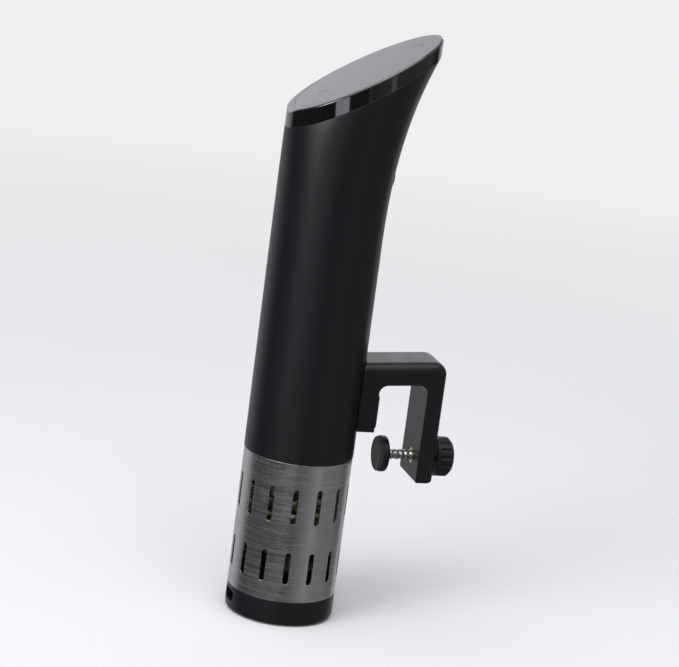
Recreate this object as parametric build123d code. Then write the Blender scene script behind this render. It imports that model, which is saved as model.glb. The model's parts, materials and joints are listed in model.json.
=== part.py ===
"""Sous vide circulator with a sliding pot clamp: one STEP file per piece, in millimetres.

Frame: the origin is the centre of the flat base, +Z runs up the body's axis, -Y is the front, where the
slanted display is lowest, and +Y is the back, where the clamp holds the wall of a pot.
"""

from build123d import *
import math
import os

# ---------------------------------------------------------------- driving dimensions
total_height = 325.0  # base to the tip of the display
body_radius = 30.0
wall = 2.5  # housing wall
face_slope = 30.5  # display's slope, degrees, rising to the back
tip_y = 49.0  # how far back the display's tip reaches
cap_band = 9.5  # height of the glossy band round the display
housing_bottom = 92.0
clamp_top = 146.0  # top of the clamp's bridge, at the body
slip = 0.15  # gap between pieces that are fitted together
run_gap = 0.3  # gap between surfaces that slide past each other

# ---------------------------------------------------------------- sizes worked out from them
slope = math.radians(face_slope)
flare_start = 205.0
flare_end = total_height - cap_band
flare_reach = tip_y - body_radius
flare_power = 2.5  # how late the back edge swings out
tilt_power = 1.3  # how late the sections tilt to the display's slope
half_face = (tip_y + body_radius) / 2 / math.cos(slope)  # half the display's length, along its slope
face_mid_y = (tip_y - body_radius) / 2
face_mid_z = total_height - (tip_y - face_mid_y) * math.tan(slope)


def save(name, shape):
    """Writes one piece to its STEP file."""
    export_step(shape, f"parts/{name}.step")


def joined(shapes):
    """All the shapes fused into one."""
    total = shapes[0]
    for shape in shapes[1:]:
        total = total + shape
    return total


def rod(radius, low, high, x=0.0, y=0.0):
    """Upright cylinder between two heights."""
    return Pos(x, y, (low + high) / 2) * Cylinder(radius, high - low)


def tube(outer, inner, low, high, x=0.0, y=0.0):
    """Upright tube between two heights."""
    return rod(outer, low, high, x, y) - rod(inner, low - 1, high + 1, x, y)


def rod_y(radius, low, high, x=0.0, z=0.0):
    """Cylinder along Y between two stations."""
    return Pos(x, (low + high) / 2, z) * Rot(90, 0, 0) * Cylinder(radius, high - low)


def block(x, y, z):
    """Box from three (low, high) pairs."""
    size = [b - a for a, b in (x, y, z)]
    middle = [(a + b) / 2 for a, b in (x, y, z)]
    return Pos(*middle) * Box(*size)


def round_about(count, radius, first=0.0):
    """Points evenly spaced on a circle, as (x, y, angle in degrees)."""
    for i in range(count):
        angle = first + 360.0 * i / count
        yield radius * math.cos(math.radians(angle)), radius * math.sin(math.radians(angle)), angle


def face_plane(drop):
    """The display's plane, moved straight down its own normal: local y climbs to the tip."""
    normal = Vector(0, -math.sin(slope), math.cos(slope))
    origin = Vector(0, face_mid_y, face_mid_z) - normal * drop
    return Plane(origin=origin, x_dir=(1, 0, 0), z_dir=normal)


# ---------------------------------------------------------------- outer form of the body
def body_section(u, inset):
    """Ellipse across the body at share u of the flare. Its front end stays on the straight front line,
    its back end follows the flare, and it tilts until it lies in the parting plane under the display."""
    share = max(u, 0.0)
    back_z = flare_start + (flare_end - flare_start) * u
    back_y = body_radius + flare_reach * share**flare_power
    tilt = slope * share**tilt_power
    if u <= 0:
        return Plane.XY.offset(back_z) * Circle(body_radius - inset)
    half = (back_y + body_radius) / 2 / math.cos(tilt)
    mid_y = (back_y - body_radius) / 2
    mid_z = back_z - (back_y - mid_y) * math.tan(tilt)
    plane = Plane(origin=(0, mid_y, mid_z), x_dir=(1, 0, 0), z_dir=(0, -math.sin(tilt), math.cos(tilt)))
    return plane * Ellipse(body_radius - inset, half - inset)


def body_form(inset, bottom):
    """The whole body up to the parting plane, as a solid, drawn in by inset all round."""
    steps = 8
    start = -0.1
    sections = [body_section(start, inset)] + [body_section(i / steps, inset) for i in range(steps + 1)]
    flare = loft([section.face() for section in sections])
    straight_top = flare_start + (flare_end - flare_start) * start
    return rod(body_radius - inset, bottom, straight_top) + flare


outer_form = body_form(0.0, housing_bottom)
inner_form = body_form(wall, housing_bottom)

# ---------------------------------------------------------------- back rail
rail_half_width = 19.0
rail_depth_y = 19.7  # inner face of the rail strip
rail_top = 232.0
slot_mouth = 5.6  # half width of the T slot at the surface
slot_half = 9.2  # half width of the T slot inside
slot_y = (22.6, 26.0)
slot_z = (98.5, 198.0)
groove_x = (-17.6, -7.5)  # the two short grooves beside the slot
groove_heights = (156.2, 161.1)
groove_width = 0.9
groove_depth = 0.8
far = 45.0  # reach of a cutter that ends outside the body

# ---------------------------------------------------------------- cord gland
gland_z = 248.0
gland_flange_radius = 7.4
gland_radius = 5.4
gland_bore = 3.3
gland_face_y = 31.4
gland_step_y = 30.2
gland_inner_y = 26.4


def rail_blank(gap):
    """The back strip's outline through the body's wall, grown by gap on its sides and top."""
    half = rail_half_width + gap
    top = rail_top + gap
    corner = 5.0
    outline = Plane.XZ * Pos(0, (housing_bottom + top) / 2) * RectangleRounded(
        2 * half, top - housing_bottom, corner
    )
    foot = block((-half, half), (rail_depth_y, far), (housing_bottom, housing_bottom + 2 * corner))
    return extrude(outline.face(), amount=far - rail_depth_y).moved(Location((0, far, 0))) + foot


def rail_clearance(gap, low, high):
    """What is cut away inside the body to leave room for the strip's foot."""
    half = rail_half_width + 1
    return block((-half, half), (rail_depth_y - gap, far), (low, high))


def mark(radius, depth, half, low, high):
    """Engraved level mark at the front."""
    return tube(radius + 1, radius - depth, low, high) & block((-half, half), (-far, 0), (low, high))


def main_housing():
    shell = outer_form - inner_form
    shell -= rail_blank(slip)
    shell -= rod_y(gland_radius + 0.05, gland_inner_y - 5, gland_face_y + 5, z=gland_z)
    shell -= rod_y(gland_flange_radius + 0.1, gland_step_y, gland_face_y + 5, z=gland_z)
    return shell - mark(body_radius, 0.35, 5.0, 101.0, 101.7)


def rear_rail():
    strip = outer_form & rail_blank(0.0)
    strip -= block((-slot_mouth, slot_mouth), (slot_y[1] - 1, far), slot_z)
    strip -= block((-slot_half, slot_half), slot_y, slot_z)
    for z in groove_heights:
        ring = tube(body_radius + 2, body_radius - groove_depth, z, z + groove_width)
        strip -= ring & block(groove_x, (0, far), (z, z + groove_width))
    return strip


def cord_grommet():
    body = rod_y(gland_radius, gland_inner_y, gland_face_y, z=gland_z)
    flange = rod_y(gland_flange_radius, gland_step_y + 0.05, gland_face_y, z=gland_z)
    gland = body + flange
    rim = gland.edges().filter_by(GeomType.CIRCLE).sort_by(Axis.Y)[-1]
    gland = fillet(rim, 0.5)
    return gland - rod_y(gland_bore, gland_inner_y - 1, gland_face_y + 1, z=gland_z)


# ---------------------------------------------------------------- display cap
glass_thickness = 1.5
glass_rim = 1.3  # cap's rim left outside the glass, at the sides and the tip
glass_front = 4.8  # the same at the rounded front
shelf = 2.0  # plate under the glass
window = (15.0, 8.0)  # half size of the window for the digits, across and along the slope
window_up = 6.0  # window's centre, up the slope from the middle


def cap_prism(inset, low, high):
    """Upright elliptical prism between two slanted planes, given as heights above the parting plane."""
    return extrude(body_section(1.0, inset).face(), amount=high - low, dir=(0, 0, 1)).moved(
        Location((0, 0, low))
    )


def glass_outline(gap):
    """Ellipse of the glass in the display's own plane."""
    low, high = -half_face + glass_front, half_face - glass_rim
    return Pos(0, (low + high) / 2) * Ellipse(body_radius - glass_rim + gap, (high - low) / 2 + gap)


def display_cap():
    cap = cap_prism(0.0, 0.0, cap_band)
    front, nose = -body_radius - 0.5, 8.0
    front_z = face_mid_z - (face_mid_y - front) * math.tan(slope)
    back_z = face_mid_z + (60 - face_mid_y) * math.tan(slope)
    corner = [(front, 200), (front, front_z), (60, back_z), (60, 200)]
    side = Plane.YZ * make_face(Polyline(*corner, close=True))
    nose_corner = side.vertices().sort_by(Axis.Y)[0:2].sort_by(Axis.Z)[-1]
    side = fillet(nose_corner, nose)
    cap &= extrude(side.face(), amount=40, both=True)
    rim = [
        e for e in cap.edges()
        if face_plane(0).to_local_coords(e.center()).Z > -4.0 and e.length > 15
    ]
    cap = fillet(rim, 1.0)
    cap -= extrude(face_plane(glass_thickness) * glass_outline(0.05), amount=10)
    cap -= cap_prism(wall, -1.0, cap_band - (glass_thickness + shelf) / math.cos(slope))
    opening = face_plane(10) * Pos(0, window_up) * RectangleRounded(2 * window[0], 2 * window[1], 2)
    cap -= extrude(opening, amount=20)
    return cap - seal_ring(0.03)


def seal_ring(gap):
    """Ring of the seal in its groove under the cap's wall."""
    outer = cap_prism(0.8 - gap, -0.01 if gap else 0.0, 1.1 + gap)
    return outer - cap_prism(1.8 + gap, -1, 3)


def display_glass():
    glass = extrude(face_plane(glass_thickness) * glass_outline(0.0), amount=glass_thickness)
    top = glass.faces().sort_by(Axis((0, 0, 0), face_plane(0).z_dir))[-1]
    return chamfer(top.edges(), 0.25)


def display_board():
    """Circuit board under the cap's shelf, with room for the housing's screws at its ends."""
    below = glass_thickness + shelf + 0.1
    board = face_plane(below + 1.6) * Ellipse(body_radius - 4.4, half_face - 8.0)
    return extrude(board, amount=1.6)


def digit_module():
    """Four-digit light module that stands on the display board, in the window."""
    height = glass_thickness + shelf + 0.1
    size = [2 * half - 1 for half in window]
    outline = face_plane(height) * Pos(0, window_up) * RectangleRounded(*size, 1.5)
    return extrude(outline, amount=height - glass_thickness - 0.1)


def buzzer():
    plane = face_plane(glass_thickness + shelf + 1.75)
    disc = plane * Pos(0, -20) * Circle(6.0)
    return extrude(disc, amount=-4.5)


# ---------------------------------------------------------------- wet end
skirt_outer = 29.8
skirt_inner = 29.0
skirt_bottom = 14.0
skirt_top = housing_bottom - run_gap
collar_radius = skirt_inner - run_gap
collar_bottom = 84.0
spigot_radius = body_radius - wall - slip
spigot_top = 100.0
shaft_radius = 2.0
coil_radius = 18.5
coil_tube = 3.2
coil_pitch = 8.4
coil_turns = 4.5
coil_low = 42.0
return_radius = 11.5  # where the heater's lower end comes back up
screw_circle = 21.5
probe_spots = [(1.4, 36.0, 244.0), (1.4, 52.0, 222.0), (1.4, 70.0, 318.0)]  # radius, tip height, angle
probe_circle = 23.4


def bulkhead_screw_spots():
    return [(x, y) for x, y, _ in round_about(3, screw_circle, 30.0)]


def heater_spots():
    """Where the heater's two legs pass through the bulkhead: (x, y)."""
    last = math.radians(360.0 * coil_turns)
    upper = (coil_radius * math.cos(last), coil_radius * math.sin(last))
    return [upper, (return_radius, 0.0)]


def probe_centres():
    for radius, tip, angle in probe_spots:
        a = math.radians(angle)
        yield radius, tip, probe_circle * math.cos(a), probe_circle * math.sin(a)


def bulkhead():
    plate = rod(collar_radius, collar_bottom, housing_bottom) + rod(spigot_radius, housing_bottom, spigot_top)
    plate -= rod(23.5, housing_bottom + 2.0, spigot_top + 1)
    plate -= seal_groove(25.7, 94.4, 97.0)
    plate -= seal_groove(collar_radius - 1.7, 86.6, 89.0)
    plate -= rod(shaft_radius + 0.5, collar_bottom - 1, spigot_top)
    plate -= rod(6.0, 88.0, spigot_top)
    for x, y in heater_spots():
        plate -= rod(coil_tube + 0.05, collar_bottom - 1, spigot_top, x, y)
    for radius, _, x, y in probe_centres():
        plate -= rod(radius + 0.05, collar_bottom - 1, spigot_top + 1, x, y)
    for x, y in bulkhead_screw_spots():
        plate -= rod(1.6, collar_bottom - 1, spigot_top, x, y)
        plate -= rod(3.1, collar_bottom - 1, collar_bottom + 2.0, x, y)
    return plate - rail_clearance(0.3, housing_bottom, spigot_top + 1)


def seal_groove(radius, low, high):
    """Groove for a sealing ring, open outwards."""
    return tube(40, radius, low, high)


def sealing_ring(radius, outer, low, high):
    """Sealing ring with rounded edges."""
    ring = tube(outer, radius, low, high)
    return fillet(ring.edges().filter_by(GeomType.CIRCLE), 0.45)


def bulkhead_seal():
    """Ring between the bulkhead and the housing, left open where the rail's foot stands."""
    ring = sealing_ring(25.75, body_radius - wall - 0.05, 94.5, 96.9)
    return ring - rail_clearance(0.3, housing_bottom, spigot_top)


def shaft_seal():
    return tube(5.9, shaft_radius + 0.1, 88.1, 91.5)


def screw(x, y, seat, tip, head_radius, head_height, radius):
    """Pan-headed screw whose head is on the low side of its seat."""
    head = rod(head_radius, seat - head_height, seat, x, y)
    cross = block((x - 1.6, x + 1.6), (y - 0.4, y + 0.4), (seat - head_height - 1, seat - head_height + 0.9))
    cross += block((x - 0.4, x + 0.4), (y - 1.6, y + 1.6), (seat - head_height - 1, seat - head_height + 0.9))
    return head + rod(radius, seat, tip, x, y) - cross


def bulkhead_screws():
    return Compound(
        children=[screw(x, y, collar_bottom + 2.0, 106.0, 2.9, 1.9, 1.5) for x, y in bulkhead_screw_spots()]
    )


def heater_coil():
    """Tubular heater: a coil, one leg straight up from its top and one back up inside it."""
    path = Helix(pitch=coil_pitch, height=coil_pitch * coil_turns, radius=coil_radius)
    section = Plane(origin=path @ 0, z_dir=path % 0) * Circle(coil_tube)
    coil = sweep(section, path).moved(Location((0, 0, coil_low)))
    top_z = coil_low + coil_pitch * coil_turns
    (ux, uy), (lx, ly) = heater_spots()
    upper_leg = rod(coil_tube, top_z, spigot_top + 2, ux, uy)
    lower_leg = rod(coil_tube, coil_low, spigot_top + 2, lx, ly)
    foot = Pos((coil_radius + lx) / 2, 0, coil_low) * Rot(0, 90, 0) * Cylinder(coil_tube, coil_radius - lx)
    bends = ((ux, uy, top_z), (coil_radius, 0, coil_low), (lx, ly, coil_low))
    knees = [Pos(*place) * Sphere(coil_tube + 0.1) for place in bends]
    return joined([coil, knees[0], upper_leg, knees[1], foot, knees[2], lower_leg])


def heater_nuts():
    """Hexagonal nuts that pull the heater's legs up against the bulkhead."""
    nuts = []
    for x, y in heater_spots():
        outline = Plane.XY.offset(housing_bottom + 2.05) * Pos(x, y) * RegularPolygon(5.1, 6, rotation=30)
        nut = extrude(outline, amount=3.0)
        nuts.append(nut - rod(coil_tube + 0.05, 80, 110, x, y))
    return Compound(children=nuts)


def probe(index):
    """Closed steel sheath with a domed tip, through the bulkhead."""
    radius, tip, x, y = list(probe_centres())[index]
    return rod(radius, tip + radius, spigot_top + 1, x, y) + Pos(x, y, tip + radius) * Sphere(radius)


def temperature_probe():
    return probe(0)


def level_probes():
    return Compound(children=[probe(1), probe(2)])


def shaft_column():
    """Fixed column that carries the lower bush."""
    return tube(4.6, 3.4, 44.0, collar_bottom - 0.02)


def lower_bush():
    bush = tube(3.38, shaft_radius + 0.06, 44.5, 52.0)
    flange = tube(4.6, shaft_radius + 0.06, 42.6, 43.98)
    return bush + flange + tube(3.38, shaft_radius + 0.06, 43.9, 44.6)


# ---------------------------------------------------------------- skirt and end cap
slot_rows = [(24.0, 42.0), (58.0, 78.0)]
slots_per_row = 14
slot_width = 3.0
pump_ring = (14.6, 16.2)


def skirt():
    """Steel sleeve with two rows of upright water slots."""
    sleeve = tube(skirt_outer, skirt_inner, skirt_bottom, skirt_top)
    for low, high in slot_rows:
        for _, _, angle in round_about(slots_per_row, skirt_outer, 360.0 / slots_per_row / 2):
            slot = Rot(0, 90, 0) * SlotOverall(high - low, slot_width)
            cutter = extrude(Pos(skirt_outer, 0, (low + high) / 2) * slot, amount=4, both=True)
            sleeve -= Rot(0, 0, angle) * cutter
    return sleeve - mark(skirt_outer, 0.3, 6.0, 50.0, 50.7)


def end_cap():
    """Moulded foot: intake grille underneath, pump ring inside and an outlet at the front."""
    cup = rod(skirt_outer, 0, skirt_bottom)
    cup = fillet(cup.edges().filter_by(GeomType.CIRCLE).sort_by(Axis.Z)[0], 2.5)
    cup += rod(skirt_inner - 0.05, skirt_bottom - 1, 21.0)
    cup -= rod(skirt_inner - 2.2, 3.0, 30)
    cup += tube(pump_ring[1], pump_ring[0], 2.5, 26.0)
    for ring in range(2):
        radius = 6.5 + 8.0 * ring
        for _, _, angle in round_about(8 + 8 * ring, radius, 0.0):
            hole = Pos(radius, 0, 0) * SlotOverall(5.0, 2.2)
            cup -= Rot(0, 0, angle) * extrude(hole, amount=4)
    outlet = Plane.XZ * Pos(0, 8.4) * RectangleRounded(16, 6.4, 3)
    cup -= extrude(outlet, amount=45)
    return cup


# ---------------------------------------------------------------- drive
motor_radius = 18.0
motor_z = (112.0, 142.0)
stator_bore = 12.6
rotor_radius = 12.0
fan_radius = 16.0
motor_screw_spots = [(0.0, -11.5), (0.0, 11.5)]


def motor_can():
    can = rod(motor_radius, *motor_z) - rod(motor_radius - 1.2, motor_z[0] + 1.5, motor_z[1] + 1)
    can -= rod(5.05, motor_z[0] - 1, motor_z[0] + 3)
    for x, y in motor_screw_spots:
        can -= rod(1.27, motor_z[0] - 1, motor_z[0] + 3, x, y)
    return can


def motor_screws():
    """Two screws up through the chassis into the motor's front plate."""
    return Compound(children=[screw(x, y, 109.0, 114.0, 2.3, 1.6, 1.25) for x, y in motor_screw_spots])


def motor_end_bell():
    bell = rod(motor_radius, motor_z[1] + 0.05, motor_z[1] + 2.5) - rod(5.05, motor_z[1] - 1, motor_z[1] + 4)
    for x, y, _ in round_about(6, 11.5, 0.0):
        bell -= rod(2.4, motor_z[1] - 1, motor_z[1] + 4, x, y)
    return bell


def motor_stator():
    """Laminated ring with poles, its windings filled in between them."""
    stack = tube(motor_radius - 1.25, stator_bore, 118.0, 136.0)
    for _, _, angle in round_about(9, 1.0, 0.0):
        gap = block((stator_bore - 1, stator_bore + 2.6), (-0.8, 0.8), (117, 137))
        stack -= Rot(0, 0, angle) * gap
    return stack


def bearing(low):
    """Small ball bearing drawn as its outer ring, shield and inner ring in one piece."""
    ring = tube(5.0, shaft_radius + 0.05, low, low + 2.4)
    ring -= tube(4.2, 3.0, low - 1, low + 0.3)
    return ring - tube(4.2, 3.0, low + 2.1, low + 4)


def motor_bearings():
    return Compound(children=[bearing(motor_z[0] - 0.4), bearing(motor_z[1] + 0.1)])


def drive_shaft():
    shaft = rod(shaft_radius, 19.0, 158.0)
    return chamfer(shaft.edges().filter_by(GeomType.CIRCLE), 0.4)


def motor_magnet():
    return tube(rotor_radius, shaft_radius + 0.02, 117.0, 137.0)


def cooling_fan():
    hub = tube(5.5, shaft_radius + 0.02, 148.0, 156.0)
    blades = []
    for _, _, angle in round_about(7, 1.0, 0.0):
        blade = Pos(10.6, 0, 152.0) * Rot(35, 0, 0) * Box(2 * (fan_radius - 10.7), 7.0, 1.0)
        blades.append(Rot(0, 0, angle) * blade)
    blades = joined(blades) & rod(fan_radius, 140, 160)
    return hub + (blades - rod(5.0, 140, 160))


def impeller():
    """Six curved blades on a disc and a hub."""
    hub = tube(4.5, shaft_radius + 0.02, 23.0, 36.0) + tube(12.8, shaft_radius + 0.5, 33.0, 34.4)
    blades = []
    for _, _, angle in round_about(6, 1.0, 0.0):
        outer = Pos(7.6, 4.2) * Circle(6.4) - Pos(7.6, 4.2) * Circle(5.2)
        curve = extrude(Plane.XY.offset(25.0) * outer, amount=8.5)
        keep = block((3.6, 14), (-4, 4.2), (24, 35)) & rod(12.6, 24, 35)
        blades.append(Rot(0, 0, angle) * (curve & keep))
    return hub + (joined(blades) - rod(3.0, 20, 40))


def impeller_nut():
    nut = extrude(Plane.XY.offset(19.6) * RegularPolygon(3.8, 6), amount=3.35)
    return nut - rod(shaft_radius + 0.02, 15, 30)


# ---------------------------------------------------------------- inside the housing
rib_x = (21.3, 23.6)
board_y = (6.0, 7.6)
board_z = (162.0, 255.5)
board_back = board_y[0] - 0.02  # where the parts on the board's near side stand
board_screw_spots = [(s * 17.0, z) for s in (-1, 1) for z in (164.0, 252.0)]
sink_z = (176.0, 238.0)
fins = 6
fin_pitch = 4.72


def chassis():
    """Moulded carrier: a foot disc on the bulkhead, two tall ribs and two cross bars for the board."""
    rim = rod(body_radius - wall - 0.25, spigot_top + 0.02, 104.0)
    rim -= rail_clearance(0.4, spigot_top, motor_z[0])
    rim -= rod(7.0, 90, 110)
    for x, y in heater_spots():
        rim -= rod(6.2, 90, 110, x, y)
    for radius, _, x, y in probe_centres():
        rim -= rod(radius + 0.8, 90, 110, x, y)
    posts = [rod(3.4, 104.0, 109.0, x, y) for x, y in bulkhead_screw_spots()]
    seat = tube(motor_radius, 6.0, 109.0, motor_z[0] - 0.02)
    legs = [block((s * 17.0 - 1.5, s * 17.0 + 1.5), (-6, 6), (103.5, 109.5)) for s in (-1, 1)]
    ribs = [
        block((min(s * rib_x[0], s * rib_x[1]), max(s * rib_x[0], s * rib_x[1])), (-9, 12), (103.5, 258.0))
        for s in (-1, 1)
    ]
    bars = [block((-22, 22), (board_y[1] + 0.1, 11.5), (z, z + 4)) for z in (162.0, 250.0)]
    ties = [block((s * 19.5 - 3.5, s * 19.5 + 3.5), (-3, 3), (109.0, motor_z[0] - 0.02)) for s in (-1, 1)]
    frame = joined([rim, seat] + posts + legs + ribs + bars + ties)
    for x, y in motor_screw_spots:
        frame -= rod(1.35, 108, 113, x, y)
    for x, y in bulkhead_screw_spots():
        frame -= rod(1.5, 100, 107.0, x, y)
    for x, z in board_screw_spots:
        frame -= rod_y(1.0, 7, 13, x, z)
    return frame


def power_board():
    board = block((-20, 20), board_y, board_z)
    for x, z in board_screw_spots:
        board -= rod_y(1.1, 0, 20, x, z)
    return board


def board_screws():
    parts = []
    for x, z in board_screw_spots:
        head = rod_y(2.2, board_y[0] - 1.4, board_y[0] - 0.01, x, z)
        parts.append(head + rod_y(0.95, board_y[0] - 0.5, 11.4, x, z))
    return Compound(children=parts)


def transformer():
    core = block((-11, 11), (-13.0, board_back), (176, 194))
    return core + block((-8, 8), (-15.0, -13.0), (179, 191))


def capacitors():
    can = [
        rod_y(r, -9.5, board_back, x, z)
        for r, x, z in ((5.0, -12.0, 206.0), (5.0, 0.5, 206.0), (3.6, 12.0, 204.0))
    ]
    return Compound(children=can)


def relay():
    return block((-14, 2), (-9.0, board_back), (218, 236))


def heat_sink():
    """Finned plate that cools the heater's switch, behind the board."""
    sink = block((-13, 13), (board_y[1] + 0.02, 10.0), sink_z)
    for i in range(fins):
        x = -12.5 + i * fin_pitch
        sink += block((x, x + 1.4), (9.9, 18.0), sink_z)
    return sink


# ---------------------------------------------------------------- clamp
clamp_half_width = 15.0
bridge_rise = 3.5  # the bridge climbs towards the outer leg, degrees
bridge_depth = 12.0
jaw_face_y = 36.5
jaw_bottom = 108.0
leg_y = (64.0, 74.6)
leg_bottom = 80.0
screw_z = 92.0
pad_rubber = 2.0
jaw_rubber = 1.5
pad_face_y = 44.0
pad_disc = 3.5
runner_y = 32.0  # seat of the runner in the jaw
runner_screws = (114.0, 123.0)  # heights of its two screws
screw_radius = 2.9
insert_radius = 4.6
knob_radius = 11.0
knob_grips = 16
knob_y = (77.2, 86.7)


def clamp_bracket():
    """Upside-down U: a jaw against the body, a bridge over the pot's rim and an outer leg."""
    rise = math.tan(math.radians(bridge_rise))
    top_inner, top_outer = clamp_top, clamp_top + (leg_y[1] - body_radius) * rise
    under_inner = clamp_top - bridge_depth + (jaw_face_y - body_radius) * rise
    under_outer = clamp_top - bridge_depth + (leg_y[0] - body_radius) * rise
    corners = [
        (20.0, top_inner - 10 * rise), (leg_y[1], top_outer), (leg_y[1], leg_bottom), (leg_y[0], leg_bottom),
        (leg_y[0], under_outer), (jaw_face_y, under_inner), (jaw_face_y, jaw_bottom), (20.0, jaw_bottom),
    ]
    side = make_face(Polyline(*corners, close=True))
    side = fillet([side.vertices().sort_by_distance(corners[1])[0]], 7.0)
    side = fillet([side.vertices().sort_by_distance(corners[i])[0] for i in (4, 5)], 5.0)
    bracket = extrude(Plane.YZ * side, amount=clamp_half_width, both=True)
    outer = []
    for edge in bracket.edges():
        c = edge.center()
        on_side = abs(abs(c.X) - clamp_half_width) < 0.01 and abs(edge.tangent_at(0.5).X) < 0.1
        on_top = c.Z > clamp_top - 3 and c.Y > 24
        on_back = c.Y > leg_y[1] - 3 and c.Z > leg_bottom + 3
        if on_side and (on_top or on_back):
            outer.append(edge)
    bracket = fillet(outer, 5.0)
    bracket = fillet(bracket.faces().sort_by(Axis.Z)[0].edges(), 1.5)
    bracket -= rod(body_radius + run_gap, 60, 200)
    bracket -= rod_y(insert_radius + 0.02, leg_y[0] - 1, leg_y[1] + 1, z=screw_z)
    bracket -= block((-slot_mouth + 0.28, slot_mouth - 0.28), (20, runner_y), (jaw_bottom + 2, clamp_top - 4))
    for z in runner_screws:
        bracket -= rod_y(1.25, 20, jaw_face_y + 1, z=z)
        bracket -= rod_y(2.45, jaw_face_y - 1.55, jaw_face_y + 1, z=z)
    return bracket


def jaw_pad():
    """Rubber facing on the jaw."""
    pad = block((-12.5, 12.5), (jaw_face_y + 0.01, jaw_face_y + jaw_rubber), (jaw_bottom + 1.5, 128.0))
    return fillet(pad.edges().filter_by(Axis.Y), 2.0)


def rail_tongue():
    """T-shaped runner that slides in the rail and is screwed to the jaw."""
    low, high = jaw_bottom + 2.1, clamp_top - 4.1
    neck = block((-slot_mouth + run_gap, slot_mouth - run_gap), (slot_y[1] - 1, runner_y - 0.02), (low, high))
    head_y = (slot_y[0] + run_gap, slot_y[1] - run_gap)
    head = block((-slot_half + run_gap, slot_half - run_gap), head_y, (low, high))
    tongue = neck + head
    for z in runner_screws:
        tongue -= rod_y(1.22, 24, 40, z=z)
    return tongue


def tongue_screws():
    """Countersunk screws from the jaw's face into the runner, under the jaw's rubber."""
    parts = []
    for z in runner_screws:
        head = rod_y(2.4, jaw_face_y - 1.5, jaw_face_y - 0.05, z=z)
        parts.append(head + rod_y(1.2, 24.5, jaw_face_y - 1.0, z=z))
    return Compound(children=parts)


def thread_insert():
    """Brass bush that the clamp's screw runs in."""
    bush = rod_y(insert_radius, leg_y[0] + 0.3, leg_y[1] - 0.3, z=screw_z)
    return bush - rod_y(screw_radius + 0.12, leg_y[0] - 1, leg_y[1] + 1, z=screw_z)


def pressure_pad():
    """Disc on the screw's tip that doesn't turn against the pot."""
    back = pad_face_y + pad_rubber + pad_disc
    disc = rod_y(10.0, pad_face_y + pad_rubber, back, z=screw_z)
    disc = fillet(disc.edges().filter_by(GeomType.CIRCLE).sort_by(Axis.Y)[-1], 1.2)
    return disc - rod_y(screw_radius - 0.4, pad_face_y + pad_rubber + 1.2, back + 1, z=screw_z)


def pad_facing():
    facing = rod_y(9.6, pad_face_y, pad_face_y + pad_rubber - 0.02, z=screw_z)
    return fillet(facing.edges().filter_by(GeomType.CIRCLE).sort_by(Axis.Y)[0], 0.8)


def clamp_screw():
    tip_y_low = pad_face_y + pad_rubber + 1.5
    neck = rod_y(screw_radius - 0.7, tip_y_low, pad_face_y + pad_rubber + pad_disc + 0.5, z=screw_z)
    return neck + rod_y(screw_radius, pad_face_y + pad_rubber + pad_disc + 0.3, knob_y[0] + 7.0, z=screw_z)


def clamp_knob():
    knob = rod_y(knob_radius, *knob_y, z=screw_z)
    rims = knob.edges().filter_by(GeomType.CIRCLE).sort_by(Axis.Y)
    knob = chamfer(rims[-1], 2.2)
    for x, z, _ in round_about(knob_grips, knob_radius + 0.6, 180.0 / knob_grips):
        knob -= rod_y(1.4, knob_y[0] + 1.6, knob_y[1] + 1, x, screw_z + z)
    knob -= rod_y(screw_radius + 0.02, knob_y[0] - 1, knob_y[0] + 7.02, z=screw_z)
    return knob - rod_y(6.05, knob_y[1] - 1.0, knob_y[1] + 1, z=screw_z)


def knob_disc():
    """Plain cover pressed into the knob's face."""
    disc = rod_y(6.0, knob_y[1] - 0.98, knob_y[1] + 0.2, z=screw_z)
    return fillet(disc.edges().filter_by(GeomType.CIRCLE).sort_by(Axis.Y)[-1], 0.5)


pieces = [
    main_housing, rear_rail, cord_grommet, display_cap, display_glass, display_board, digit_module, buzzer,
    bulkhead, bulkhead_seal, shaft_seal, bulkhead_screws, heater_coil, heater_nuts, temperature_probe,
    level_probes, shaft_column, lower_bush, skirt, end_cap, motor_can, motor_end_bell, motor_stator,
    motor_bearings, drive_shaft, motor_magnet, cooling_fan, impeller, impeller_nut, chassis, motor_screws,
    power_board, board_screws, transformer, capacitors, relay, heat_sink, clamp_bracket, jaw_pad,
    rail_tongue, tongue_screws, thread_insert, pressure_pad, pad_facing, clamp_screw, clamp_knob, knob_disc,
]

os.makedirs("parts", exist_ok=True)
for piece in pieces:
    save(piece.__name__, piece())
save("cap_seal", seal_ring(0.0))
save("skirt_seal", sealing_ring(collar_radius - 1.65, collar_radius - 0.05, 86.7, 88.9))
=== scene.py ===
import json
import math

import bmesh
import bpy
from mathutils import Matrix, Vector


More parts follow.
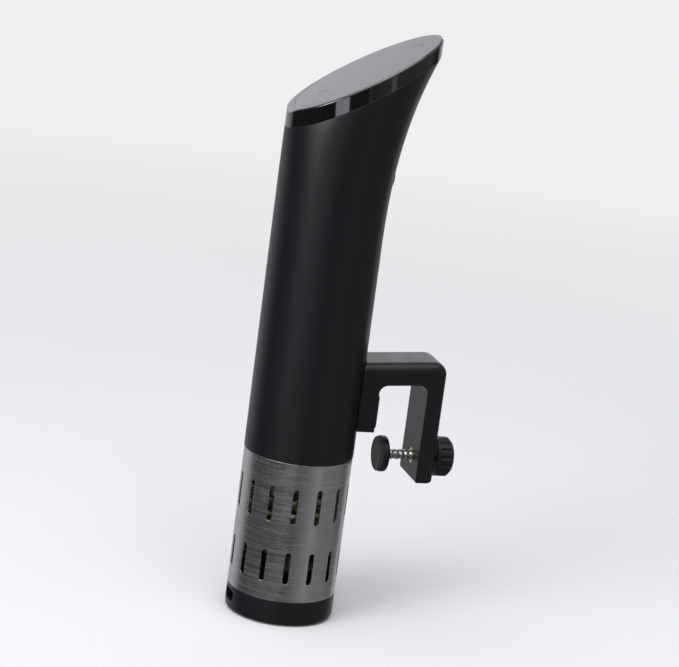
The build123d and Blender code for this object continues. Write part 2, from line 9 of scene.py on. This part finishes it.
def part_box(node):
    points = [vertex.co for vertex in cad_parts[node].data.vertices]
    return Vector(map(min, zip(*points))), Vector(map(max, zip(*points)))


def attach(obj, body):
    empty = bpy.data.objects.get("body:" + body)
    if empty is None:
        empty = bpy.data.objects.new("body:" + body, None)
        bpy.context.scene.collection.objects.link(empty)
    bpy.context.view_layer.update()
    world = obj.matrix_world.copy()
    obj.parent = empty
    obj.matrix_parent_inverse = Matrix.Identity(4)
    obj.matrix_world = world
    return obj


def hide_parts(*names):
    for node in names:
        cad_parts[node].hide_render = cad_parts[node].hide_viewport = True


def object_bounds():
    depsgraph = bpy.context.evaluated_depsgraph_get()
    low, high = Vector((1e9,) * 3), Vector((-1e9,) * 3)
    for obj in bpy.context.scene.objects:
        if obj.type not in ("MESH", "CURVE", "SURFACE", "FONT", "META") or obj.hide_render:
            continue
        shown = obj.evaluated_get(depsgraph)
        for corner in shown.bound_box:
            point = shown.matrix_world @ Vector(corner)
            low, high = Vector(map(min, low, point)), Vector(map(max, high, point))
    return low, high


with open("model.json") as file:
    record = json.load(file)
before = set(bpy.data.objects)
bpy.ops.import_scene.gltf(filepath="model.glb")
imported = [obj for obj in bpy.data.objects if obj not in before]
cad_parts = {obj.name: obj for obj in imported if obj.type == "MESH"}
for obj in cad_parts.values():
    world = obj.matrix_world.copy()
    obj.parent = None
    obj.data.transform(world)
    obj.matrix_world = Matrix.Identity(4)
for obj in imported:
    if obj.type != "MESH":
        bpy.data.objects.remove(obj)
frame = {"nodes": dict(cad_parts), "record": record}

cad_box = [list(corner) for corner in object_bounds()]
nodes = frame["nodes"]
low, high = (Vector(corner) for corner in cad_box)


# ---------------------------------------------------------------- shader helpers
class Shader:
    """A material's node tree, with short calls for the nodes that the finishes share."""

    def __init__(self, name):
        self.material = bpy.data.materials.new(name)
        self.material.use_nodes = True
        self.tree = self.material.node_tree
        self.tree.nodes.clear()
        self.out = self.node("ShaderNodeOutputMaterial")
        self.bsdf = self.node("ShaderNodeBsdfPrincipled")
        self.link(self.bsdf.outputs["BSDF"], self.out.inputs["Surface"])
        self.place = self.node("ShaderNodeTexCoord").outputs["Object"]

    def node(self, kind, **settings):
        """Adds a node of a kind."""
        made = self.tree.nodes.new(kind)
        for key, value in settings.items():
            setattr(made, key, value)
        return made

    def link(self, source, target):
        self.tree.links.new(source, target)

    def plain(self, **values):
        """Numbers and colours that are the same all over, on the shader's own sockets."""
        for key, value in values.items():
            socket = self.bsdf.inputs[key.replace("_", " ")]
            socket.default_value = (*value, 1.0) if isinstance(value, tuple) else value

    def stretched(self, scale):
        """The object's own coordinates, scaled by a different number along each axis."""
        mapping = self.node("ShaderNodeMapping")
        mapping.inputs["Scale"].default_value = scale
        self.link(self.place, mapping.inputs["Vector"])
        return mapping.outputs["Vector"]

    def noise(self, scale, detail=2.0, rough=0.5, vector=None, warp=0.0):
        made = self.node("ShaderNodeTexNoise")
        made.inputs["Scale"].default_value = scale
        made.inputs["Detail"].default_value = detail
        made.inputs["Roughness"].default_value = rough
        made.inputs["Distortion"].default_value = warp
        self.link(vector or self.place, made.inputs["Vector"])
        return made.outputs["Fac"]

    def cells(self, scale, feature="F1"):
        made = self.node("ShaderNodeTexVoronoi", feature=feature)
        made.inputs["Scale"].default_value = scale
        self.link(self.place, made.inputs["Vector"])
        return made.outputs["Distance"]

    def to_range(self, value, a, b, c, d):
        """value from a..b to c..d, clamped."""
        made = self.node("ShaderNodeMapRange")
        for key, number in zip(("From Min", "From Max", "To Min", "To Max"), (a, b, c, d)):
            made.inputs[key].default_value = number
        self.link(value, made.inputs["Value"])
        return made.outputs["Result"]

    def ramp(self, value, *stops):
        """Colours at stops, each (position, (r, g, b))."""
        made = self.node("ShaderNodeValToRGB")
        elements = made.color_ramp.elements
        while len(elements) < len(stops):
            elements.new(1.0)
        for element, (position, colour) in zip(elements, stops):
            element.position = position
            element.color = (*colour, 1.0)
        self.link(value, made.inputs["Fac"])
        return made.outputs["Color"]

    def math(self, operation, a, b):
        made = self.node("ShaderNodeMath", operation=operation)
        for socket, value in zip(made.inputs, (a, b)):
            if isinstance(value, (int, float)):
                socket.default_value = value
            else:
                self.link(value, socket)
        return made.outputs[0]

    def bump(self, height, distance, strength=1.0, normal=None):
        made = self.node("ShaderNodeBump")
        made.inputs["Strength"].default_value = strength
        made.inputs["Distance"].default_value = distance
        self.link(height, made.inputs["Height"])
        if normal is not None:
            self.link(normal, made.inputs["Normal"])
        return made.outputs["Normal"]

    def soft_edges(self, radius):
        """A normal that rounds every edge to a radius."""
        made = self.node("ShaderNodeBevel", samples=6)
        made.inputs["Radius"].default_value = radius
        return made.outputs["Normal"]

    def set(self, **sources):
        """Links outputs of other nodes to the shader's own sockets."""
        for key, source in sources.items():
            self.link(source, self.bsdf.inputs[key.replace("_", " ")])


# ---------------------------------------------------------------- finishes
def satin_black(name):
    """Moulded black plastic with a fine spark-eroded grain, handling marks and soft edges."""
    s = Shader(name)
    s.plain(IOR=1.47, Specular_IOR_Level=0.42)
    blotch = s.noise(16.0, 3.0)
    dark = (0.0042, 0.0042, 0.0058)
    light = tuple(c * 1.35 for c in dark)
    s.set(Base_Color=s.ramp(blotch, (0.35, dark), (0.7, light)))
    smear = s.noise(55.0, 4.0, 0.6, s.stretched((1.0, 1.0, 0.35)), 1.2)
    s.set(Roughness=s.to_range(smear, 0.3, 0.7, 0.33, 0.41))
    s.set(Normal=s.bump(s.noise(2600.0, 2.0, 0.6), 0.00003, 0.55, s.soft_edges(0.0006)))
    return s.material


def gloss_black(name):
    """Piano-black moulding: mirror gloss over a slight mould waviness, with faint wipe marks."""
    s = Shader(name)
    s.plain(Base_Color=(0.0025, 0.0025, 0.0032), IOR=1.52, Coat_Weight=1.0, Coat_Roughness=0.02, Coat_IOR=1.5)
    wipes = s.noise(420.0, 3.0, 0.6, s.stretched((1.0, 0.12, 0.5)), 0.6)
    s.set(Roughness=s.to_range(wipes, 0.45, 0.8, 0.05, 0.12))
    wave = s.bump(s.noise(38.0, 1.0), 0.0006, 0.05, s.soft_edges(0.0005))
    s.set(Normal=wave)
    return s.material


def black_glass(name):
    """Back-printed display glass: black, polished, with the odd dust speck."""
    s = Shader(name)
    s.plain(IOR=1.56, Coat_Weight=1.0, Coat_Roughness=0.015, Coat_IOR=1.5)
    dust = s.cells(900.0)
    s.set(Base_Color=s.ramp(dust, (0.0, (0.05, 0.05, 0.055)), (0.035, (0.006, 0.006, 0.008))))
    haze = s.noise(90.0, 4.0, 0.6, None, 1.5)
    s.set(Roughness=s.to_range(haze, 0.4, 0.75, 0.03, 0.10))
    s.set(Normal=s.soft_edges(0.0003))
    return s.material


def rubber(name):
    """Matt black rubber with a faint bloom."""
    s = Shader(name)
    s.plain(Specular_IOR_Level=0.3, Sheen_Weight=0.12, Sheen_Roughness=0.5)
    bloom = s.noise(120.0, 4.0, 0.65)
    s.set(Base_Color=s.ramp(bloom, (0.35, (0.012, 0.012, 0.013)), (0.75, (0.03, 0.03, 0.032))))
    s.set(Roughness=s.to_range(bloom, 0.3, 0.7, 0.62, 0.82))
    s.set(Normal=s.bump(s.noise(1500.0, 2.0), 0.00005, 0.6, s.soft_edges(0.0004)))
    return s.material


def brushed_steel(name, rough=(0.2, 0.34)):
    """Stainless steel with fine brush lines round the body's axis."""
    s = Shader(name)
    s.plain(Metallic=1.0, Anisotropic=0.55)
    stroke = s.noise(1.0, 3.0, 0.65, s.stretched((30.0, 30.0, 1400.0)))
    s.set(Base_Color=s.ramp(stroke, (0.3, (0.52, 0.52, 0.51)), (0.7, (0.66, 0.66, 0.65))))
    marks = s.noise(70.0, 4.0, 0.6, None, 0.8)
    worn = s.to_range(marks, 0.5, 0.8, 0.0, 0.10)
    s.set(Roughness=s.math("ADD", s.to_range(stroke, 0.3, 0.7, *rough), worn))
    tangent = s.node("ShaderNodeTangent", direction_type="RADIAL", axis="Z")
    s.set(Tangent=tangent.outputs["Tangent"])
    s.set(Normal=s.bump(stroke, 0.00002, 0.35, s.soft_edges(0.0003)))
    return s.material


def heated_steel(name):
    """The heater's sheath: drawn tube, straw to bronze where it ran hot, with a trace of scale."""
    s = Shader(name)
    s.plain(Metallic=1.0)
    heat = s.noise(45.0, 3.0, 0.6)
    straw = s.ramp(heat, (0.3, (0.50, 0.48, 0.44)), (0.55, (0.46, 0.38, 0.27)), (0.8, (0.30, 0.24, 0.22)))
    s.set(Base_Color=straw)
    scale = s.noise(700.0, 3.0, 0.7)
    s.set(Roughness=s.to_range(scale, 0.3, 0.7, 0.24, 0.46))
    s.set(Normal=s.bump(scale, 0.00003, 0.5))
    return s.material


def moulded(name, dark, light, rough=(0.42, 0.58)):
    """Plain moulded plastic, clouded between two tones, with a fine grain."""
    s = Shader(name)
    cloud = s.noise(60.0, 3.0)
    s.set(Base_Color=s.ramp(cloud, (0.3, dark), (0.75, light)))
    s.set(Roughness=s.to_range(s.noise(300.0, 3.0), 0.3, 0.7, *rough))
    s.set(Normal=s.bump(s.noise(1800.0, 2.0), 0.00003, 0.5, s.soft_edges(0.0004)))
    return s.material


def metal(name, dark, light, rough=(0.25, 0.42)):
    """Bare metal with a fine grain between two tones."""
    s = Shader(name)
    s.plain(Metallic=1.0)
    tone = s.noise(900.0, 3.0, 0.6)
    s.set(Base_Color=s.ramp(tone, (0.3, dark), (0.7, light)))
    s.set(Roughness=s.to_range(tone, 0.3, 0.7, *rough))
    s.set(Normal=s.bump(tone, 0.00002, 0.5, s.soft_edges(0.0002)))
    return s.material


def circuit_board(name):
    """Green solder mask with tracks under it."""
    s = Shader(name)
    tracks = s.cells(330.0, "DISTANCE_TO_EDGE")
    s.set(Base_Color=s.ramp(tracks, (0.0, (0.03, 0.16, 0.07)), (0.08, (0.015, 0.09, 0.04))))
    s.set(Roughness=s.to_range(tracks, 0.0, 0.1, 0.25, 0.4))
    s.set(Normal=s.bump(tracks, 0.00005, 0.5))
    return s.material


def laminations(name):
    """Stacked steel sheets under varnish."""
    s = Shader(name)
    s.plain(Metallic=0.7)
    sheets = s.noise(1.0, 1.0, 0.5, s.stretched((5.0, 5.0, 2600.0)))
    s.set(Base_Color=s.ramp(sheets, (0.35, (0.06, 0.055, 0.05)), (0.65, (0.30, 0.27, 0.24))))
    s.set(Roughness=s.to_range(sheets, 0.3, 0.7, 0.35, 0.6))
    s.set(Normal=s.bump(sheets, 0.0001, 0.6))
    return s.material


finishes = {
    "satin_black": satin_black("satin_black_finish"),
    "gloss_black": gloss_black("gloss_black_finish"),
    "black_glass": black_glass("black_glass_finish"),
    "black_rubber": rubber("black_rubber_finish"),
    "steel": brushed_steel("steel_finish"),
    "grey_plastic": moulded("grey_plastic_finish", (0.05, 0.05, 0.055), (0.09, 0.09, 0.095)),
    "dark_plastic": moulded("dark_plastic_finish", (0.02, 0.02, 0.022), (0.04, 0.04, 0.043)),
    "white_plastic": moulded("white_plastic_finish", (0.62, 0.61, 0.57), (0.75, 0.74, 0.70)),
    "board_green": circuit_board("board_green_finish"),
    "laminations": laminations("laminations_finish"),
    "magnet": metal("magnet_finish", (0.06, 0.06, 0.065), (0.14, 0.14, 0.15), (0.45, 0.65)),
    "can_aluminium": metal("can_aluminium_finish", (0.62, 0.62, 0.63), (0.76, 0.76, 0.77)),
    "brass": metal("brass_finish", (0.62, 0.45, 0.20), (0.78, 0.60, 0.30), (0.2, 0.36)),
}
special = {
    "heater_coil": heated_steel("heater_finish"),
    "drive_shaft": brushed_steel("shaft_finish", (0.12, 0.22)),
    "clamp_screw": metal("screw_finish", (0.40, 0.40, 0.40), (0.58, 0.58, 0.57), (0.22, 0.36)),
}
for entry in frame["record"]["subparts"]:
    name = entry["node"]
    node = nodes[name]
    finish = special.get(name) or finishes[entry["material_slot"]]
    node.data.materials.clear()
    node.data.materials.append(finish)

# ---------------------------------------------------------------- pieces that only Blender draws
def piece(name, mesh, material, body):
    """Puts a mesh into the scene as a piece that rides a body."""
    made = bpy.data.objects.new(name, mesh)
    bpy.context.scene.collection.objects.link(made)
    mesh.materials.append(material)
    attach(made, body)
    return made


def screw_mesh(name, low, high, shoulder, stop, lead):
    """The clamp's whole screw along Y: plain neck up to the shoulder, then a right-handed trapezoidal thread
    that runs out at stop, then a plain end. low and high are the corners of the CAD screw's box."""
    around, step = 48, 0.00025
    outer, depth, neck = (high.z - low.z) / 2, 0.0005, 0.0022
    run_out = 0.0012
    flank, root = 5.0, 0.75  # the ridge rises by flank per turn, once past the root
    centre = (low + high) / 2
    count = int((high.y - low.y) / step)
    verts, faces = [], []
    for i in range(count + 1):
        y = low.y + (high.y - low.y) * i / count
        ends = max(0.0, min(1.0, min(y - shoulder, stop - y) / run_out))
        for j in range(around):
            turn = j / around
            phase = (y / lead + turn) % 1.0
            ridge = max(0.0, min(1.0, (0.5 - abs(phase - 0.5)) * flank - root))
            radius = neck if y < shoulder else outer - depth * (1.0 - ridge * ends)
            angle = 2 * math.pi * turn
            verts.append((centre.x + radius * math.cos(angle), y, centre.z + radius * math.sin(angle)))
    for i in range(count):
        for j in range(around):
            a, b = i * around + j, i * around + (j + 1) % around
            faces.append((a, a + around, b + around, b))
    faces.append(tuple(range(around)))
    faces.append(tuple(count * around + j for j in reversed(range(around))))
    mesh = bpy.data.meshes.new(name)
    mesh.from_pydata(verts, [], faces)
    mesh.set_sharp_from_angle(angle=math.radians(40))
    return mesh


def display_plane():
    """The glass's top face: (middle, direction across, direction up the slope, normal, half its length)."""
    mesh = nodes["display_glass"].data
    facing = [p for p in mesh.polygons if p.normal.z > 0.6]
    normal = max(facing, key=lambda p: p.area).normal.copy()
    flat = [p for p in facing if p.normal.dot(normal) > 0.9999]
    points = [mesh.vertices[i].co for p in flat for i in p.vertices]
    across = Vector((1, 0, 0))
    uphill = normal.cross(across).normalized()
    along = [point.dot(uphill) for point in points]
    level = sum(point.dot(normal) for point in points) / len(points)
    middle = uphill * (min(along) + max(along)) / 2 + normal * level
    return middle, across, uphill, normal, (max(along) - min(along)) / 2


def ribbon(mesh, path, width, thickness, place, closed=False):
    """Adds a flat closed strip along path, given in millimetres in the display's plane, to a bmesh."""
    rings = []
    count = len(path)
    buried = 0.05
    for i, point in enumerate(path):
        before = path[i - 1] if i or closed else point
        after = path[(i + 1) % count] if i < count - 1 or closed else point
        run = Vector((after[0] - before[0], after[1] - before[1])).normalized()
        side = Vector((-run.y, run.x)) * width / 2
        corners = []
        for sign, lift in ((-1, -buried), (1, -buried), (1, thickness), (-1, thickness)):
            corners.append(mesh.verts.new(place(point[0] + sign * side.x, point[1] + sign * side.y, lift)))
        rings.append(corners)
    pairs = list(zip(rings, rings[1:])) + ([(rings[-1], rings[0])] if closed else [])
    for a, b in pairs:
        for k in range(4):
            mesh.faces.new((a[k], a[(k + 1) % 4], b[(k + 1) % 4], b[k]))
    if not closed:
        mesh.faces.new(rings[0][::-1])
        mesh.faces.new(rings[-1])


def arc(x, y, radius, start, end, steps=28):
    """Points on an arc, from start to end in degrees."""
    for i in range(steps + 1):
        angle = math.radians(start + (end - start) * i / steps)
        yield x + radius * math.cos(angle), y + radius * math.sin(angle)


def touch_marks():
    """Printed touch marks on the glass: on and off near the tip, less, set and more near the front."""
    middle, across, uphill, normal, half = display_plane()

    def place(u, v, lift):
        return middle + (across * u + uphill * v + normal * lift) * 0.001

    length = half * 1000
    line, ink = 0.55, 0.03
    power_row, set_row = length - 13.0, 15.0 - length
    sign_row, sign_x, arm = set_row + 3.0, 10.0, 2.0
    clear = 0.32  # the plus sign's upright stops this far from its bar's middle
    mesh = bmesh.new()
    ribbon(mesh, list(arc(0, power_row, 3.2, 125, 415)), line, ink, place)
    ribbon(mesh, [(0, power_row + 0.8), (0, power_row + 3.9)], line, ink, place)
    for x in (-sign_x, sign_x):
        ribbon(mesh, [(x - arm, sign_row), (x + arm, sign_row)], line, ink, place)
    ribbon(mesh, [(sign_x, sign_row + arm), (sign_x, sign_row + clear)], line, ink, place)
    ribbon(mesh, [(sign_x, sign_row - clear), (sign_x, sign_row - arm)], line, ink, place)
    ribbon(mesh, list(arc(0, set_row, 2.4, 0, 360, 40))[:-1], 0.5, ink, place, closed=True)
    data = bpy.data.meshes.new("touch_marks")
    bmesh.ops.recalc_face_normals(mesh, faces=mesh.faces)
    mesh.to_mesh(data)
    mesh.free()
    return data


def gap_shade_sheet(lift, thickness, shrink):
    """Painted shade: a thin black sheet in the black rubber finish, laid in the joint over the back rail to
    darken the gap there, cut to the rail's own top face.
    """
    rail = nodes["rear_rail"].data
    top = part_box("rear_rail")[1].z
    mesh = bmesh.new()
    copies = {}
    for face in rail.polygons:
        if min(rail.vertices[i].co.z for i in face.vertices) > top - 0.00001:
            for i in face.vertices:
                if i not in copies:
                    copies[i] = mesh.verts.new(rail.vertices[i].co)
            mesh.faces.new([copies[i] for i in face.vertices])
    centre = sum((v.co for v in mesh.verts), Vector()) / len(mesh.verts)
    for v in mesh.verts:
        v.co = centre + (v.co - centre) * shrink + Vector((0, 0, lift))
    lid = bmesh.ops.extrude_face_region(mesh, geom=mesh.faces[:], use_keep_orig=True)["geom"]
    for v in lid:
        if isinstance(v, bmesh.types.BMVert):
            v.co.z += thickness
    bmesh.ops.recalc_face_normals(mesh, faces=mesh.faces)
    data = bpy.data.meshes.new("rail_gap_shade_sheet")
    mesh.to_mesh(data)
    mesh.free()
    return data


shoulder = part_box("pressure_pad")[1].y + 0.0003
thread_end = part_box("clamp_knob")[0].y + 0.003
thread_lead = 0.003
thread = screw_mesh("clamp_screw_thread", *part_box("clamp_screw"), shoulder, thread_end, thread_lead)
screw = piece("clamp_screw_thread", thread, special["clamp_screw"], "screw")
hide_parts("clamp_screw")
marks_finish = moulded("marks_finish", (0.16, 0.16, 0.17), (0.2, 0.2, 0.21), (0.3, 0.4))
piece("display_touch_marks", touch_marks(), marks_finish, "housing")
# painted shade: a thin black sheet that fills the gap over the back rail so the seam shows dark
rail_gap_shade = gap_shade_sheet(lift=0.00003, thickness=0.00009, shrink=0.95)
piece("rail_gap_shade_sheet", rail_gap_shade, finishes["black_rubber"], "housing")


# ---------------------------------------------------------------- stage
def ground(name, size, height):
    """Square level floor, centred under the object."""
    mesh = bpy.data.meshes.new(name)
    half = size / 2
    corners = [(-half, -half, 0), (half, -half, 0), (half, half, 0), (-half, half, 0)]
    mesh.from_pydata(corners, [], [(0, 1, 2, 3)])
    made = bpy.data.objects.new(name, mesh)
    made.location = (0, 0, height)
    bpy.context.scene.collection.objects.link(made)
    return made


# the floor is lit near the object and fades to the plain colour of the dome round about
paper = (0.86, 0.865, 0.875)
floor = ground("floor", 23.0, low.z - 0.0002)
s = Shader("floor_finish")
s.set(Base_Color=s.ramp(s.noise(3.0, 2.0), (0.3, (0.79, 0.79, 0.795)), (0.7, (0.81, 0.81, 0.815))))
s.plain(Roughness=0.85, Specular_IOR_Level=0.2)
far = s.node("ShaderNodeEmission")
far.inputs["Color"].default_value = (*paper, 1.0)
reach = s.node("ShaderNodeVectorMath", operation="LENGTH")
s.link(s.place, reach.inputs[0])
fade = s.node("ShaderNodeMixShader")
s.link(s.to_range(reach.outputs["Value"], 0.35, 1.5, 0.0, 1.0), fade.inputs["Fac"])
s.link(s.bsdf.outputs["BSDF"], fade.inputs[1])
s.link(far.outputs["Emission"], fade.inputs[2])
s.link(fade.outputs["Shader"], s.out.inputs["Surface"])
floor.data.materials.append(s.material)
floor.visible_glossy = False
floor.visible_shadow = False

dome_mesh = bpy.data.meshes.new("dome")
build = bmesh.new()
bmesh.ops.create_uvsphere(build, u_segments=48, v_segments=24, radius=12.0)
build.to_mesh(dome_mesh)
build.free()
dome = bpy.data.objects.new("dome", dome_mesh)
bpy.context.scene.collection.objects.link(dome)
s = Shader("dome_finish")
glow = s.node("ShaderNodeEmission")
glow.inputs["Color"].default_value = (*paper, 1.0)
s.link(glow.outputs["Emission"], s.out.inputs["Surface"])
dome.data.materials.append(s.material)
for kind in ("diffuse", "glossy", "transmission", "shadow", "volume_scatter"):
    setattr(dome, "visible_" + kind, False)

# the room that the object reflects: pale overhead and behind, dim at the sides, with a few white cards
world = bpy.data.worlds.new("studio")
world.use_nodes = True
tree = world.node_tree
room = tree.nodes["Background"]
direction = tree.nodes.new("ShaderNodeTexCoord").outputs["Generated"]


def world_node(kind, *inputs, **settings):
    """Adds a node to the world. Each input is a number, a vector or another node's output."""
    made = tree.nodes.new(kind)
    for key, value in settings.items():
        setattr(made, key, value)
    for socket, value in zip(made.inputs, inputs):
        if isinstance(value, bpy.types.NodeSocket):
            tree.links.new(value, socket)
        else:
            socket.default_value = value
    return made


def edge(along, half, soft):
    """1 where the direction is within half degrees along a card's side, fading out over soft degrees."""
    across = world_node("ShaderNodeVectorMath", direction, along, operation="DOT_PRODUCT").outputs["Value"]
    size = world_node("ShaderNodeMath", across, operation="ABSOLUTE").outputs[0]
    inner, outer = (math.sin(math.radians(min(89.0, max(0.0, half + k * soft)))) for k in (-0.5, 0.5))
    fade = world_node("ShaderNodeMapRange", size, inner, outer, 1.0, 0.0, interpolation_type="SMOOTHSTEP")
    return fade.outputs[0]


def card(azimuth, elevation, half_width, half_height, soft, value):
    """A soft-edged bright rectangle in the room, placed by its direction."""
    a, e = math.radians(azimuth), math.radians(elevation)
    centre = (math.sin(a) * math.cos(e), -math.cos(a) * math.cos(e), math.sin(e))
    facing = world_node("ShaderNodeVectorMath", direction, centre, operation="DOT_PRODUCT").outputs["Value"]
    front = world_node("ShaderNodeMath", facing, 0.0, operation="GREATER_THAN").outputs[0]
    sides = edge((math.cos(a), math.sin(a), 0.0), half_width, soft)
    upright = (-math.sin(a) * math.sin(e), math.cos(a) * math.sin(e), math.cos(e))
    ends = edge(upright, half_height, soft)
    shape = world_node("ShaderNodeMath", sides, ends, operation="MULTIPLY").outputs[0]
    shape = world_node("ShaderNodeMath", shape, front, operation="MULTIPLY").outputs[0]
    return world_node("ShaderNodeMath", shape, value, operation="MULTIPLY").outputs[0]


split = world_node("ShaderNodeSeparateXYZ", direction)
height = world_node("ShaderNodeMapRange", split.outputs["Z"], -1.0, 1.0, 0.0, 1.0).outputs[0]
shade = world_node("ShaderNodeValToRGB", height)
stops = shade.color_ramp.elements
levels = ((0.0, 0.22), (0.2, 0.18), (0.33, 0.06), (0.46, 0.035), (0.51, 0.08), (0.60, 0.30), (1.0, 0.62))
while len(stops) < len(levels):
    stops.new(1.0)
for stop, (position, value) in zip(stops, levels):
    stop.position = position
    stop.color = (value, value, value, 1.0)
cards = (  # azimuth, elevation, half width, half height, soft edge, brightness
    (266, -8, 52, 26, 14, 0.5),
    (244, 15, 12, 8, 6, 0.8),
    (145, -16, 45, 24, 20, 0.14),
    (33, 12, 12, 12, 10, 5.6),
    (64, -8, 8.5, 3.2, 2, 1.8),
    (124, -13.5, 3, 9, 2, 0.35),
    (97, -13.5, 1.5, 9, 1.5, 0.15),
)
total = shade.outputs["Color"]
for settings in cards:
    total = world_node("ShaderNodeMath", total, card(*settings), operation="ADD").outputs[0]
tint = world_node("ShaderNodeVectorMath", (0.965, 0.97, 1.03), (0, 0, 0), operation="SCALE")
tree.links.new(total, tint.inputs["Scale"])
tree.links.new(tint.outputs["Vector"], room.inputs["Color"])
room.inputs["Strength"].default_value = 1.0
bpy.context.scene.world = world

middle = (low + high) / 2


def softbox(name, azimuth, elevation, distance, width, height, power):
    """Rectangular soft light aimed at the object's middle. Azimuth 0 is in front, 90 on the +X side."""
    a, e = math.radians(azimuth), math.radians(elevation)
    away = Vector((math.sin(a) * math.cos(e), -math.cos(a) * math.cos(e), math.sin(e)))
    light = bpy.data.lights.new(name, "AREA")
    light.shape = "RECTANGLE"
    light.size, light.size_y = width, height
    light.energy = power
    made = bpy.data.objects.new(name, light)
    made.location = middle + away * distance
    made.rotation_euler = away.to_track_quat("Z", "Y").to_euler()
    made.visible_camera = False
    bpy.context.scene.collection.objects.link(made)
    return made


softbox("key", 27, 27, 1.75, 0.80, 1.4, 6)
softbox("top", 60, 70, 1.8, 1.6, 1.6, 24)
softbox("back_card", 272, 17, 1.7, 2.1, 0.85, 1.2)

# ---------------------------------------------------------------- camera
view_azimuth, view_elevation, lean = math.radians(73.0), math.radians(13.5), math.radians(7.6)
back = Vector((
    math.sin(view_azimuth) * math.cos(view_elevation),
    -math.cos(view_azimuth) * math.cos(view_elevation),
    math.sin(view_elevation),
))
camera_data = bpy.data.cameras.new("camera")
camera_data.sensor_width = 36.0
camera = bpy.data.objects.new("camera", camera_data)
camera.rotation_mode = "QUATERNION"
roll = Matrix.Rotation(lean, 3, "Z").to_quaternion()
camera.rotation_quaternion = back.to_track_quat("Z", "Y") @ roll
bpy.context.scene.collection.objects.link(camera)
bpy.context.scene.camera = camera

# the camera stands 1.4 m off, and its lens is as long as lets the object fill the frame's height
distance, fill, aspect = 1.4, 0.88, 679 / 667
turn = camera.rotation_quaternion.to_matrix().transposed()
corners = [turn @ vertex.co for node in nodes.values() for vertex in node.data.vertices]
spans = [(min(c[k] for c in corners), max(c[k] for c in corners)) for k in (0, 1)]
aim = turn.transposed() @ Vector((sum(spans[0]) / 2, sum(spans[1]) / 2, turn[2].dot(middle)))
camera.location = aim + back * distance
frame_width = (spans[1][1] - spans[1][0]) / fill * aspect
camera_data.lens = camera_data.sensor_width * distance / frame_width
bpy.context.scene.view_settings.view_transform = "Standard"
